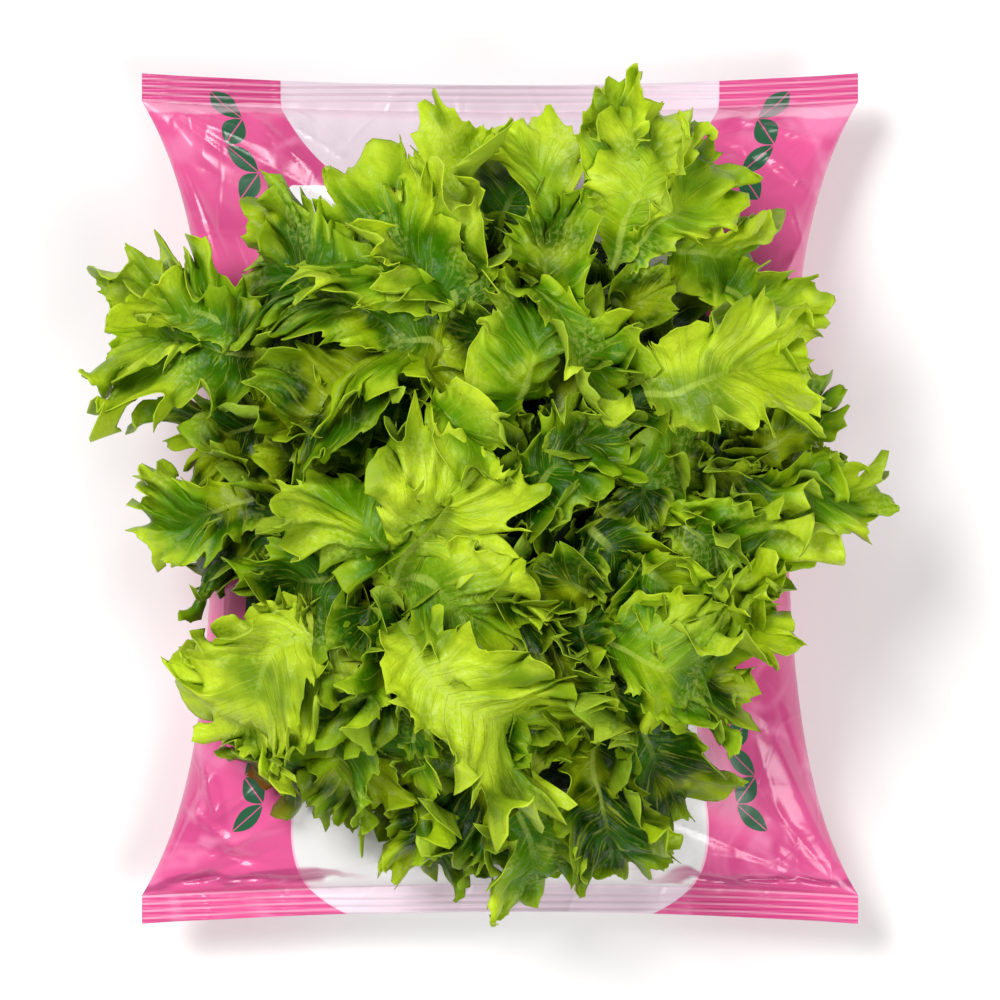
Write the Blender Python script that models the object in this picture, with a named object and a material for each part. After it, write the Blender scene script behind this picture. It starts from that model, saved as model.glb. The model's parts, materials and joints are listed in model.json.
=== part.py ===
"""A printed pillow bag of salad lying on its back, with a heap of frilly lettuce leaves on its front.

Metres, +Z up. The origin is on the surface that the bag lies on, under the middle of the bag.
+X is to the right of the printed front and +Y is towards its top seal.
"""

import math
import random

import bmesh
import bpy
import numpy as np
from mathutils import Vector, noise

# The bag, flat: 240 mm wide and 285 mm long, with a welded seal at each end.
BAG_WIDTH = 0.240
BAG_LENGTH = 0.285
SEAL_DEPTH = 0.0095
SEAL_THICKNESS = 0.0012
SEAL_BOW = 0.0040
RIB_HEIGHT = 0.0004
RIBS_PER_SEAL = 3

# The bag, filled: its sides draw in as its faces swell.
WAIST_INSET = 0.0250
WAIST_REACH = 0.042
BAG_HEIGHT = 0.070
SEAM_HEIGHT = 0.028
BELLY_DEPTH = 0.044
ROUND_ACROSS = 2.2
ROUND_ALONG = 2.4
SHOULDER_ACROSS = 0.50
SHOULDER_ALONG = 0.62
BAG_COLUMNS = 18
BAG_BODY_ROWS = 12

# The heap of leaves: its core lies on the bag and stays inside the leaves that show.
HEAP_CENTRE = Vector((-0.001, -0.004))
CORE_REACH = 0.100
CORE_SIDE_SHARE = 0.90
CORE_RISE = 0.022
CORE_RIM = 0.003
CORE_ROUND = 2.4
CORE_SHOULDER = 0.8
CORE_LUMPS = 0.0045
LUMP_SIZE = 0.026
LUMP_SLICE = 0.37
OVERHANG_FALL = 1.2
OVERHANG_LOWEST = 0.004
CORE_RINGS = 7
CORE_SECTORS = 26
HEAP_GAP = 0.0010

# One leaf of the heap.
LEAF_THICKNESS = 0.0010
STALK_SUNK = 0.0030
STALK_WIDTH = 0.28
VEIN_SWEEP = 0.14
TOOTH_DEPTH = 0.24
LEAF_STATIONS = 8
LEAF_STEPS = 2
WIDEST_BEFORE_MIDDLE = 0.8
LEAF_SEED = 7
SHARP_EDGE = math.radians(35)

PINK = (0.86, 0.15, 0.38)
LEAF_GREEN = (0.28, 0.45, 0.03)

# Every leaf that shows, in mm: its name, where its stalk leaves the core, where its tip is seen from above,
# its width, the height of its tip over the ground and how far its rib arches up between the two.
LEAVES = [
    ("top_tall", 33, 84, 41, 134, 38, 116, 6),
    ("top_right", 42, 84, 78, 120, 36, 108, 8),
    ("top_pale", 20, 88, 9, 122, 26, 96, 4),
    ("top_fan", -10, 64, -38, 118, 42, 110, 10),
    ("top_back", -10, 84, -9, 124, 30, 98, 4),
    ("shoulder_left", -20, 64, -62, 100, 44, 104, 10),
    ("shoulder_low", -26, 50, -80, 84, 42, 98, 10),
    ("wing_tip_left", -76, 60, -134, 80, 34, 80, 6),
    ("wing_left", -74, 46, -132, 40, 36, 74, 8),
    ("side_left", -76, 30, -120, 20, 36, 70, 8),
    ("spike_left", -76, 6, -124, -14, 28, 62, 4),
    ("low_wing_left", -70, -14, -114, -24, 30, 66, 6),
    ("crown_cup", 0, 34, 24, 82, 46, 128, 8),
    ("crown_right", 4, 62, 42, 26, 44, 122, 12),
    ("crown_back", 22, 58, 12, 106, 40, 110, 10),
    ("crown_left", -18, 46, -72, 54, 48, 116, 8),
    ("crown_fold", -26, 36, -76, 20, 40, 110, 8),
    ("middle_up", -36, -30, -4, 22, 58, 132, 6),
    ("middle_left", -28, -26, -60, 18, 50, 122, 8),
    ("middle_step", -32, -28, 18, -40, 50, 126, 6),
    ("middle_low", -28, -34, -46, -86, 44, 102, 12),
    ("long_leaf", -32, -38, 28, -108, 50, 96, 16),
    ("fan_left", -44, -24, -92, -46, 44, 100, 8),
    ("bright_left", -52, -38, -102, -72, 50, 84, 14),
    ("hook_left", -50, -44, -78, -94, 36, 80, 12),
    ("brown_tip", -52, -80, -86, -108, 28, 62, 6),
    ("low_left", -22, -66, -42, -120, 40, 72, 12),
    ("low_dark", -18, -88, -18, -130, 32, 62, 6),
    ("low_tip", -2, -92, 10, -139, 28, 56, 6),
    ("oak_leaf", 32, -82, 40, -126, 32, 64, 6),
    ("oak_right", 36, -76, 66, -98, 30, 70, 6),
    ("right_lowest", 34, -64, 80, -82, 38, 80, 8),
    ("right_low", 34, -44, 90, -62, 44, 84, 10),
    ("right_shelf", 46, -32, 96, -42, 38, 82, 8),
    ("right_broad", 50, -10, 104, -20, 44, 86, 10),
    ("right_upper", 58, 8, 102, 8, 36, 88, 8),
    ("far_right", 74, 2, 128, -1, 30, 76, 6),
    ("far_right_up", 74, 10, 115, 29, 26, 84, 6),
    ("yellow_right", 50, 32, 104, 48, 44, 104, 10),
    ("pale_right", 52, 80, 102, 68, 38, 92, 12),
    ("centre_spike", 4, 2, 42, 22, 44, 118, 10),
    ("centre_right", 14, -24, 66, -14, 46, 112, 10),
    ("centre_low", 10, -36, 42, -86, 44, 100, 12),
]


def empty_the_scene():
    for old in list(bpy.data.objects):
        bpy.data.objects.remove(old)


def plain_material(name, colour, roughness):
    made = bpy.data.materials.new(name)
    made.use_nodes = True
    shader = made.node_tree.nodes["Principled BSDF"]
    shader.inputs["Base Color"].default_value = (*colour, 1.0)
    shader.inputs["Roughness"].default_value = roughness
    shader.inputs["Metallic"].default_value = 0.0
    return made


def object_from(name, points, faces, material):
    mesh = bpy.data.meshes.new(name)
    mesh.from_pydata([tuple(p) for p in points], [], faces)
    mesh.materials.append(material)
    mesh.validate()
    made = bpy.data.objects.new(name, mesh)
    bpy.context.scene.collection.objects.link(made)
    return made


def body_half_length():
    return BAG_LENGTH / 2 - SEAL_DEPTH


def half_width(y):
    """Half of the filled bag's width at y: full at the seals, drawn in at the waist."""
    from_seal = max(0.0, body_half_length() - abs(y))
    return BAG_WIDTH / 2 - WAIST_INSET * (1 - math.exp(-from_seal / WAIST_REACH))


def swell(u, y):
    """How far the bag has swollen, 0 at its edge to 1 in the middle. u is -1 to 1 across the bag."""
    along = min(1.0, abs(y) / body_half_length())
    across = min(1.0, abs(u))
    return (1 - across**ROUND_ACROSS) ** SHOULDER_ACROSS * (1 - along**ROUND_ALONG) ** SHOULDER_ALONG


def bag_top(x, y):
    """Height of the bag's upper face. Past its side it goes on down, as a leaf over the edge does."""
    reach = half_width(y)
    if abs(x) >= reach:
        return max(OVERHANG_LOWEST, SEAM_HEIGHT - OVERHANG_FALL * (abs(x) - reach))
    return SEAM_HEIGHT + SEAL_THICKNESS / 2 + (BAG_HEIGHT - SEAM_HEIGHT) * swell(x / reach, y)


def bag_bottom(u, y):
    """Height of the bag's lower face, pressed flat by the surface it lies on."""
    return max(0.0, SEAM_HEIGHT - SEAL_THICKNESS / 2 - BELLY_DEPTH * swell(u, y))


def bag_rows():
    """(share of the length, rib height) of each row of points, from the bottom seal to the top one."""
    inner = body_half_length() / (BAG_LENGTH / 2)
    steps = 2 * RIBS_PER_SEAL
    seal = [(1 - (1 - inner) * k / steps, RIB_HEIGHT * (k % 2)) for k in range(steps)]
    body = [
        (inner * math.sin(math.pi / 2 * k / (BAG_BODY_ROWS / 2)), 0.0)
        for k in range(BAG_BODY_ROWS // 2 + 1)
    ]
    upper = body + seal[::-1]
    return [(-share, rib) for share, rib in upper[:0:-1]] + upper


def make_bag(material):
    """The closed bag: an upper and a lower sheet of points, joined along their four edges."""
    columns = [math.sin(math.pi / 2 * (2 * k / BAG_COLUMNS - 1)) for k in range(BAG_COLUMNS + 1)]
    points = {"top": [], "bottom": []}
    for share, rib in bag_rows():
        y_middle = share * BAG_LENGTH / 2
        for u in columns:
            y = y_middle - share * SEAL_BOW * (1 - u * u)
            x = u * half_width(y_middle)
            top = SEAM_HEIGHT + SEAL_THICKNESS / 2 + rib
            top += (BAG_HEIGHT - SEAM_HEIGHT) * swell(u, y_middle)
            points["top"].append((x, y, top))
            points["bottom"].append((x, y, bag_bottom(u, y_middle) + rib))
    rows = len(bag_rows())
    faces = sheet_pair_faces(rows, BAG_COLUMNS + 1)
    return object_from("salad_bag", points["top"] + points["bottom"], faces, material)


def sheet_pair_faces(rows, columns):
    """Faces of a closed solid made of two sheets of rows times columns points, the upper one first."""
    lower = rows * columns
    faces = []
    for r in range(rows - 1):
        for c in range(columns - 1):
            a = r * columns + c
            quad = (a, a + 1, a + columns + 1, a + columns)
            faces.append(quad[:3])
            faces.append((quad[0], quad[2], quad[3]))
            faces.append((lower + quad[2], lower + quad[1], lower + quad[0]))
            faces.append((lower + quad[3], lower + quad[2], lower + quad[0]))
    edge = list(range(columns))
    edge += [r * columns + columns - 1 for r in range(1, rows)]
    edge += [(rows - 1) * columns + c for c in range(columns - 2, -1, -1)]
    edge += [r * columns for r in range(rows - 2, 0, -1)]
    for here, after in zip(edge, edge[1:] + edge[:1]):
        faces.append((here, lower + here, lower + after))
        faces.append((here, lower + after, after))
    return faces


def core_reach(angle):
    """How far the core goes from its centre: never past the bag's side."""
    reach = CORE_REACH
    for _ in range(4):
        side = CORE_SIDE_SHARE * half_width(HEAP_CENTRE.y + reach * math.sin(angle))
        across = abs(HEAP_CENTRE.x + reach * math.cos(angle))
        reach *= min(1.0, side / max(across, 1e-6))
    return reach


def core_top(x, y):
    """Height of the core's lumpy skin over the bag."""
    offset = Vector((x, y)) - HEAP_CENTRE
    share = min(1.0, offset.length / core_reach(math.atan2(offset.y, offset.x)))
    lump = noise.noise(Vector((x, y, 0)) / LUMP_SIZE + Vector((0, 0, LUMP_SLICE)))
    rise = CORE_RISE * (1 - share**CORE_ROUND) ** CORE_SHOULDER + CORE_LUMPS * lump * (1 - share)
    return bag_top(x, y) + HEAP_GAP + CORE_RIM + rise


def make_core(material):
    """The packed leaves under those that show, on the bag with a hair of clearance."""
    upper, lower = [], []
    rings = [math.sin(math.pi / 2 * k / CORE_RINGS) for k in range(1, CORE_RINGS + 1)]
    spots = [tuple(HEAP_CENTRE)]
    for ring in rings:
        for k in range(CORE_SECTORS):
            angle = 2 * math.pi * k / CORE_SECTORS
            reach = ring * core_reach(angle)
            spots.append((HEAP_CENTRE.x + reach * math.cos(angle), HEAP_CENTRE.y + reach * math.sin(angle)))
    for x, y in spots:
        upper.append((x, y, core_top(x, y)))
        lower.append((x, y, bag_top(x, y) + HEAP_GAP))
    faces = []
    first_lower = len(spots)

    def add(a, b, c):
        faces.append((a, b, c))
        faces.append((first_lower + c, first_lower + b, first_lower + a))

    for k in range(CORE_SECTORS):
        after = (k + 1) % CORE_SECTORS
        add(0, 1 + k, 1 + after)
        for ring in range(CORE_RINGS - 1):
            here = 1 + ring * CORE_SECTORS
            out = here + CORE_SECTORS
            add(here + k, out + k, out + after)
            add(here + k, out + after, here + after)
        rim = 1 + (CORE_RINGS - 1) * CORE_SECTORS
        faces.append((rim + k, first_lower + rim + k, first_lower + rim + after))
        faces.append((rim + k, first_lower + rim + after, rim + after))
    return object_from("leaf_heap", upper + lower, faces, material)


def leaf_margin(share, length, width, tooth):
    """Where the margin is, forward of and beside the rib, at a share of the way from stalk end to tip."""
    belly = math.sin(math.pi * share**WIDEST_BEFORE_MIDDLE)
    across = width / 2 * (STALK_WIDTH + (1 - STALK_WIDTH) * belly)
    return VEIN_SWEEP * length * (1 - share), across * (1 - tooth)


def leaf_sheet(leaf, draw):
    """Points of one wavy leaf, as rows from its left margin over the rib to its right margin."""
    _, foot_x, foot_y, tip_x, tip_y, width, tip_z, arch = leaf
    foot = Vector((foot_x, foot_y, 0)) / 1000
    foot.z = core_top(foot.x, foot.y) - STALK_SUNK
    tip = Vector((tip_x, tip_y, tip_z)) / 1000
    reach = tip - foot
    side = Vector((-reach.y, reach.x, 0)).normalized()
    length = reach.length
    waves = [draw.uniform(0.45, 0.85) for _ in range(2)]
    turns = [draw.choice((1, -1)) for _ in range(2)]
    cup = math.radians(draw.uniform(4, 20))
    rows = []
    for station in range(LEAF_STATIONS + 1):
        share = station / LEAF_STATIONS
        spot = foot + reach * share + Vector((0, 0, 4 * arch / 1000 * share * (1 - share)))
        ahead = (reach + Vector((0, 0, 4 * arch / 1000 * (1 - 2 * share)))).normalized()
        up = ahead.cross(side)
        row = []
        for hand, wave, turn in ((1, waves[0], turns[0]), (-1, waves[1], turns[1])):
            tooth = TOOTH_DEPTH * (station % 2) * draw.uniform(0.6, 1.2)
            edge_x, edge_y = leaf_margin(share, length, width / 1000, tooth)
            bend = cup + wave * turn * math.sin(math.pi / 2 * (station + 0.5 * hand))
            flat = (ahead * edge_x + side * (hand * edge_y)) / LEAF_STEPS
            ribbon = [spot.copy()]
            for step in range(1, LEAF_STEPS + 1):
                rise = bend * (2 * step - 1) / LEAF_STEPS * min(1.0, 0.25 + share)
                ribbon.append(ribbon[-1] + flat * math.cos(rise) + up * (flat.length * math.sin(rise)))
            row.append(ribbon)
        rows.append(row[0][:0:-1] + row[1])
    return [[clear_of_bag(point) for point in row] for row in rows]


def clear_of_bag(point):
    """Lifts a point that would be inside the bag to just over its skin."""
    floor = bag_top(point.x, point.y) + HEAP_GAP + LEAF_THICKNESS
    return Vector((point.x, point.y, max(point.z, floor)))


def make_leaf(leaf, draw, material):
    """One leaf as a thin solid, both faces split alike."""
    grid = np.array([[tuple(point) for point in row] for row in leaf_sheet(leaf, draw)])
    rows, columns = grid.shape[:2]
    normal = np.cross(np.gradient(grid, axis=1), np.gradient(grid, axis=0))
    normal /= np.maximum(np.linalg.norm(normal, axis=2, keepdims=True), 1e-9)
    upper = (grid + normal * LEAF_THICKNESS / 2).reshape(-1, 3)
    lower = (grid - normal * LEAF_THICKNESS / 2).reshape(-1, 3)
    faces = sheet_pair_faces(rows, columns)
    made = object_from("leaf_" + leaf[0], np.concatenate([upper, lower]), faces, material)
    turn_outwards(made.data)
    return made


def turn_outwards(mesh):
    cage = bmesh.new()
    cage.from_mesh(mesh)
    bmesh.ops.recalc_face_normals(cage, faces=cage.faces)
    cage.to_mesh(mesh)
    cage.free()


def fuse(core, leaves):
    """Joins the leaves to the core with one union, then drops them."""
    group = bpy.data.collections.new("leaves")
    bpy.context.scene.collection.children.link(group)
    for leaf in leaves:
        bpy.context.scene.collection.objects.unlink(leaf)
        group.objects.link(leaf)
    union = core.modifiers.new("leaves", "BOOLEAN")
    union.operation = "UNION"
    union.operand_type = "COLLECTION"
    union.collection = group
    union.solver = "MANIFOLD"
    graph = bpy.context.evaluated_depsgraph_get()
    joined = bpy.data.meshes.new_from_object(core.evaluated_get(graph))
    core.modifiers.clear()
    core.data = joined
    for leaf in leaves:
        bpy.data.objects.remove(leaf)
    bpy.data.collections.remove(group)


def keep_outer_body(mesh):
    """Fills hollows that the union sealed and drops loose scraps: only the largest skin stays."""
    cage = bmesh.new()
    cage.from_mesh(mesh)
    bmesh.ops.triangulate(cage, faces=cage.faces)
    left = set(cage.faces)
    skins = []
    while left:
        skin, edge = set(), [left.pop()]
        while edge:
            face = edge.pop()
            skin.add(face)
            for near in (f for e in face.edges for f in e.link_faces if f in left):
                left.discard(near)
                edge.append(near)
        skins.append(skin)
    keep = max(skins, key=len)
    for skin in skins:
        if skin is not keep:
            bmesh.ops.delete(cage, geom=list(skin), context="FACES")
    cage.to_mesh(mesh)
    print("heap skins", sorted(len(skin) for skin in skins), "triangles", len(cage.faces))
    cage.free()


def main():
    empty_the_scene()
    pink_film = plain_material("printed_film", PINK, roughness=0.3)
    lettuce = plain_material("lettuce", LEAF_GREEN, roughness=0.45)
    make_bag(pink_film)
    heap = make_core(lettuce)
    draw = random.Random(LEAF_SEED)
    fuse(heap, [make_leaf(leaf, draw, lettuce) for leaf in LEAVES])
    keep_outer_body(heap.data)
    for made in bpy.context.scene.objects:
        made.data.shade_smooth()
        made.data.set_sharp_from_angle(angle=SHARP_EDGE)


main()
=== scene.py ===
# %% [markdown]
# # A bag of salad leaves
# A shut pillow bag of printed film lies on its back, and a heap of frilly lettuce lies on its front.
# The real bag is a tube of thin polypropylene, welded across at both ends. The leaves are loose.
# This lesson makes the film first, then one leaf, then the heap, then the colours and the light.
# Lengths are in metres where no name and no comment says mm.

# %% The frame, and how big it is
import json
import math
import bmesh
import bpy
import numpy as np
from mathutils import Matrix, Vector

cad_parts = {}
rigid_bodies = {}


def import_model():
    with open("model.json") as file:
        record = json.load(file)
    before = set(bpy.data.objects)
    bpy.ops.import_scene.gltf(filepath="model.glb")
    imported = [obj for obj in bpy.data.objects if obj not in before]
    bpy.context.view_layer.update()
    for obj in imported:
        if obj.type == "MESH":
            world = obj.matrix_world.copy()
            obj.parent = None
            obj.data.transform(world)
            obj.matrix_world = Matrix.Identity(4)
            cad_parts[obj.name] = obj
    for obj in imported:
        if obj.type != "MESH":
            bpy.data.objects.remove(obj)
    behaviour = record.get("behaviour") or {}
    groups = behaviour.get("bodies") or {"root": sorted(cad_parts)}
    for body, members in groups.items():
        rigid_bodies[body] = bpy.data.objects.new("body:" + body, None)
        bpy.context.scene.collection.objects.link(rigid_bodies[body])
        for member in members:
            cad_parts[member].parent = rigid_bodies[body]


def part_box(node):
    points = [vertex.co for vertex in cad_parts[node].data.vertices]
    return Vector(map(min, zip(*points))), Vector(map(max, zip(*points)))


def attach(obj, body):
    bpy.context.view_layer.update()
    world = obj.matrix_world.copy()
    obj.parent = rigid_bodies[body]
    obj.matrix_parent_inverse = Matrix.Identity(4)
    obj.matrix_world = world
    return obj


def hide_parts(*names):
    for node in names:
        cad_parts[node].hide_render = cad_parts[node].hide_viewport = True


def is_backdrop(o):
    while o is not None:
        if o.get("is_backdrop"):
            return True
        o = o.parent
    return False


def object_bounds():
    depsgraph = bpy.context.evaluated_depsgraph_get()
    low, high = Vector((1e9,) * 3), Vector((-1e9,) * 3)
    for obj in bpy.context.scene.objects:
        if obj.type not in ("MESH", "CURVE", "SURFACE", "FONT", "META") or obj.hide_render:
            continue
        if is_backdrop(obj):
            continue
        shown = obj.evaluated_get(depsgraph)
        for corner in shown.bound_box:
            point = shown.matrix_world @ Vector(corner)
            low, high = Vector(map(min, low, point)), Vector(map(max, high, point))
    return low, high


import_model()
cad_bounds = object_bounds()
bag_low, bag_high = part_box("salad_bag")
heap_low, heap_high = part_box("leaf_heap")
print("bag", [round(side * 1000) for side in bag_high - bag_low], "mm")
print("heap", [round(side * 1000) for side in heap_high - heap_low], "mm")

# %% [markdown]
# ## Sizes of the bag
# A filled bag is a swollen rectangle. Its faces bulge most in the middle, and the film that goes into
# the bulge is taken from the sides, so the waist is narrower than the two seals.

# %% Sizes of the bag
BAG_WIDTH = bag_high.x - bag_low.x
BAG_LENGTH = bag_high.y - bag_low.y
BAG_HEIGHT = bag_high.z
SEAL_DEPTH = 0.0095
SEAL_THICKNESS = 0.0012
SEAL_BOW = 0.0040
WAIST_INSET = 0.0250
WAIST_REACH = 0.042
SEAM_HEIGHT = 0.028
BELLY_DEPTH = 0.044
BODY_HALF = BAG_LENGTH / 2 - SEAL_DEPTH
SLOPE_BESIDE = 1.2
LEAST_BESIDE = 0.004


def half_width(y):
    """Half of the filled bag's width at y: full at the seals, drawn in at the waist."""
    from_seal = np.maximum(0.0, BODY_HALF - np.abs(y))
    return BAG_WIDTH / 2 - WAIST_INSET * (1 - np.exp(-from_seal / WAIST_REACH))


def swell(u, y):
    """0 at the bag's edge, 1 in the middle. u goes from -1 to 1 across the bag."""
    along = np.minimum(1.0, np.abs(y) / BODY_HALF)
    across = np.minimum(1.0, np.abs(u))
    return (1 - across**2.2) ** 0.5 * (1 - along**2.4) ** 0.62


def bag_top(x, y):
    """Height of the smooth upper face, and of a slope that goes on down past the bag's side."""
    reach = half_width(y)
    beside = SEAM_HEIGHT - SLOPE_BESIDE * (np.abs(x) - reach)
    face = SEAM_HEIGHT + SEAL_THICKNESS / 2 + (BAG_HEIGHT - SEAM_HEIGHT) * swell(x / reach, y)
    return np.where(np.abs(x) < reach, face, np.maximum(LEAST_BESIDE, beside))


print("waist", round(2000 * float(half_width(0.0))), "mm")

# %% [markdown]
# ## Folds in the film
# Film can't stretch, so where it has to go round a corner it buckles into sharp little ridges. They fan
# out from the four corners, stand in a row along each seal and cross the sides at a slant. Each fold
# here is a ridge or a valley along a line, sharp on top and fading out at both ends.

# %% Folds in the film
FOLD_SEED = 11
fold_draw = np.random.default_rng(FOLD_SEED)


def fold(x, y, start, end, height, width):
    """Height that one fold adds at the points x, y. A negative height is a valley."""
    start, end = np.array(start), np.array(end)
    along = end - start
    length = np.hypot(*along)
    t = ((x - start[0]) * along[0] + (y - start[1]) * along[1]) / length**2
    off = np.abs((x - start[0]) * along[1] - (y - start[1]) * along[0]) / length
    inside = (t > 0) & (t < 1)
    fade = np.where(inside, np.sin(math.pi * np.clip(t, 0, 1)) ** 0.8, 0.0)
    return height * fade * np.exp(-off / width)


def up_or_down(least, most):
    """The height of a fold that may be a ridge or a valley."""
    return fold_draw.choice([-1, 1]) * fold_draw.uniform(least, most)


def corner_folds(right, top):
    """Fine ridges that fan out from one corner of the bag."""
    corner = np.array([right * (BAG_WIDTH / 2 - 0.004), top * BODY_HALF])
    made = []
    for angle in np.linspace(12, 80, 8) + fold_draw.uniform(-4, 4, 8):
        length = fold_draw.uniform(0.030, 0.085)
        way = np.array([-right * math.cos(math.radians(angle)), -top * math.sin(math.radians(angle))])
        start = corner + way * fold_draw.uniform(0.002, 0.014)
        height = up_or_down(0.0008, 0.0020)
        made.append((start, start + way * length, height, fold_draw.uniform(0.0012, 0.0034)))
    return made


def seal_folds(top):
    """A row of short pleats where the flat seal lets the film swell."""
    made = []
    x = -BAG_WIDTH / 2 + 0.008
    while x < BAG_WIDTH / 2 - 0.008:
        lean = fold_draw.uniform(-0.006, 0.006)
        length = fold_draw.uniform(0.008, 0.026)
        start = (x, top * (BODY_HALF + 0.002))
        end = (x + lean, top * (BODY_HALF - length))
        made.append((start, end, up_or_down(0.0004, 0.0011), 0.0014))
        x += fold_draw.uniform(0.006, 0.013)
    return made


def side_folds(right):
    """Slanting puckers along a side, where the film's fold shortens."""
    made = []
    y = -BODY_HALF + 0.02
    while y < BODY_HALF - 0.02:
        edge = right * (float(half_width(y)) - 0.001)
        slant = math.copysign(fold_draw.uniform(0.004, 0.016), -y)
        end = (edge - right * fold_draw.uniform(0.012, 0.030), y + slant)
        made.append(((edge, y), end, up_or_down(0.0006, 0.0014), 0.0020))
        y += fold_draw.uniform(0.007, 0.014)
    return made


# The folds that stand out on this bag, placed one by one. Start x, y; end x, y; height; width (mm).
CLEAR_FOLDS = [
    (87, -72, 113, -124, 3.4, 3),
    (80, -66, 100, -126, -2, 4),
    (96, 100, 106, 70, 4, 1.3),
    (110, 90, 86, 70, 3.8, 1.2),
    (104, 94, 90, 64, 4, 1.4),
    (86, 118, 110, 96, 2.8, 1.1),
    (62, 124, 110, 98, -2.4, 3),
    (74, 128, 114, 118, 2.2, 1.2),
    (-84, 130, -60, 106, 2.4, 1),
    (-78, 131, -50, 112, 2.2, 0.9),
    (-112, 118, -82, 100, -2.2, 3),
    (-110, 114, -98, 66, 4.6, 3.6),
    (-104, 110, -90, 70, -2.6, 3.4),
    (-100, -82, -94, -108, 3.8, 1.3),
    (-98, -108, -80, -96, 3.4, 1.2),
    (-110, -98, -86, -118, 3.4, 1.4),
    (-104, -116, -76, -122, -2.4, 2),
    (-112, -129, -90, -125.5, -3, 1.1),
    (-94, -127.5, -70, -126.5, -3, 1),
    (-74, -128.5, -52, -125, -2.6, 1),
    (58, -125.5, 82, -129, -2.8, 1),
    (78, -127, 100, -127.5, -3, 1),
    (96, -125.5, 114, -130, -3, 1.1),
]
SEAL_FADE = 0.006


def fold_heights(x, y):
    """Every fold together, faded to nothing on the flat seals."""
    folds = [(row[:2], row[2:4], *row[4:]) for row in np.array(CLEAR_FOLDS) / 1000]
    for sign in (-1, 1):
        folds += corner_folds(sign, -1) + corner_folds(sign, 1) + seal_folds(sign) + side_folds(sign)
    total = sum(fold(x, y, *each) for each in folds)
    print(len(folds), "folds in all")
    return total * np.clip((BODY_HALF + 0.001 - np.abs(y)) / SEAL_FADE, 0, 1)


print(len(CLEAR_FOLDS), "folds are placed by hand")

# %% [markdown]
# ## The bag's two faces
# The bag is one tube of film, so its upper and lower faces meet in a soft fold at each side and in a weld
# at each end. Both faces are a grid of points. The lower face is pressed flat where it rests. The map of
# the print, UV, is in metres of flat film, so that the print creases with the film.

# %% The bag's two faces
ACROSS_STEPS = 200
BODY_STEPS = 196
SEAL_STEPS = 24
DENT_PITCH = 0.045
DENT_DEPTH = 0.0012
WAVE_PITCH = 0.09
WAVE_RISE = 0.0009
# Corners of a turned-over square, in the order that splits it along the same diagonal.
SAME_DIAGONAL = [0, 3, 2, 1]


def even_dents(x, y, pitch, seed):
    """Soft random dents, about -1 to 1, as a sum of a few slanted waves."""
    local = np.random.default_rng(seed)
    total = np.zeros_like(x)
    for _ in range(9):
        angle, phase = local.uniform(0, 2 * math.pi, 2)
        size = pitch * local.uniform(0.7, 1.6)
        total += np.sin(2 * math.pi * (x * math.cos(angle) + y * math.sin(angle)) / size + phase)
    return total / 4


def bag_grid():
    """Points of the upper and lower face, dented and limp, and their place on the flat film."""
    u = np.sin(math.pi / 2 * np.linspace(-1, 1, ACROSS_STEPS + 1))
    body = np.sin(math.pi / 2 * np.linspace(-1, 1, BODY_STEPS + 1)) * BODY_HALF
    seal = np.linspace(BODY_HALF, BAG_LENGTH / 2, SEAL_STEPS + 1)[1:]
    y_flat = np.concatenate([-seal[::-1], body, seal])
    u, y_flat = np.meshgrid(u, y_flat)
    x = u * half_width(y_flat)
    y = y_flat - y_flat / (BAG_LENGTH / 2) * SEAL_BOW * (1 - u * u)
    puff = swell(u, y_flat)
    side = np.sqrt(np.clip(1 - np.abs(u) ** 6, 0, 1))
    soft = even_dents(x, y, DENT_PITCH, seed=3) * DENT_DEPTH * puff
    limp = even_dents(x, 0 * y, WAVE_PITCH, seed=5) * WAVE_RISE
    top = SEAM_HEIGHT + SEAL_THICKNESS / 2 + (BAG_HEIGHT - SEAM_HEIGHT) * puff
    top = top + soft + limp * (1 - puff) + fold_heights(x, y) * side
    under = SEAM_HEIGHT - SEAL_THICKNESS / 2 - BELLY_DEPTH * puff + limp * (1 - puff)
    film = np.stack([u * BAG_WIDTH / 2, y_flat], -1)
    return np.stack([x, y, top], -1), np.stack([x, y, np.maximum(0.0, under)], -1), film


def faces_between(index, rim):
    """Faces of two like sheets of points, and of the strip that joins them round the rim."""
    count = index.size
    quads = np.stack([index[:-1, :-1], index[:-1, 1:], index[1:, 1:], index[1:, :-1]], -1).reshape(-1, 4)
    after = np.roll(rim, -1)
    strip = np.stack([rim, rim + count, after + count, after], -1)
    return np.concatenate([quads, quads[:, SAME_DIAGONAL] + count, strip])


def solid_between(name, upper, lower, maps):
    """A closed mesh of two grids of points, joined round their edges."""
    index = np.arange(upper[..., 0].size).reshape(upper.shape[:2])
    rim = np.concatenate([index[0, :-1], index[:-1, -1], index[-1, :0:-1], index[:0:-1, 0]])
    faces = faces_between(index, rim)
    mesh = bpy.data.meshes.new(name)
    points = np.concatenate([upper.reshape(-1, 3), lower.reshape(-1, 3)])
    mesh.from_pydata(points.tolist(), [], faces.tolist())
    put_uv(mesh, np.concatenate([maps.reshape(-1, 2)] * 2))
    return mesh


def put_uv(mesh, per_point):
    """Writes a UV map from one pair of numbers a point."""
    corners = np.empty(len(mesh.loops), np.int32)
    mesh.loops.foreach_get("vertex_index", corners)
    layer = mesh.uv_layers.new(name="flat")
    layer.data.foreach_set("uv", per_point[corners].astype(np.float32).ravel())


def put_value(mesh, name, per_point):
    """Writes one number a point, for a material to read."""
    layer = mesh.attributes.new(name, "FLOAT", "POINT")
    layer.data.foreach_set("value", per_point.astype(np.float32).ravel())


def put(name, data):
    """An object of a mesh, a lamp or a lens, at the origin of the scene."""
    made = bpy.data.objects.new(name, data)
    bpy.context.scene.collection.objects.link(made)
    return made


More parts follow.
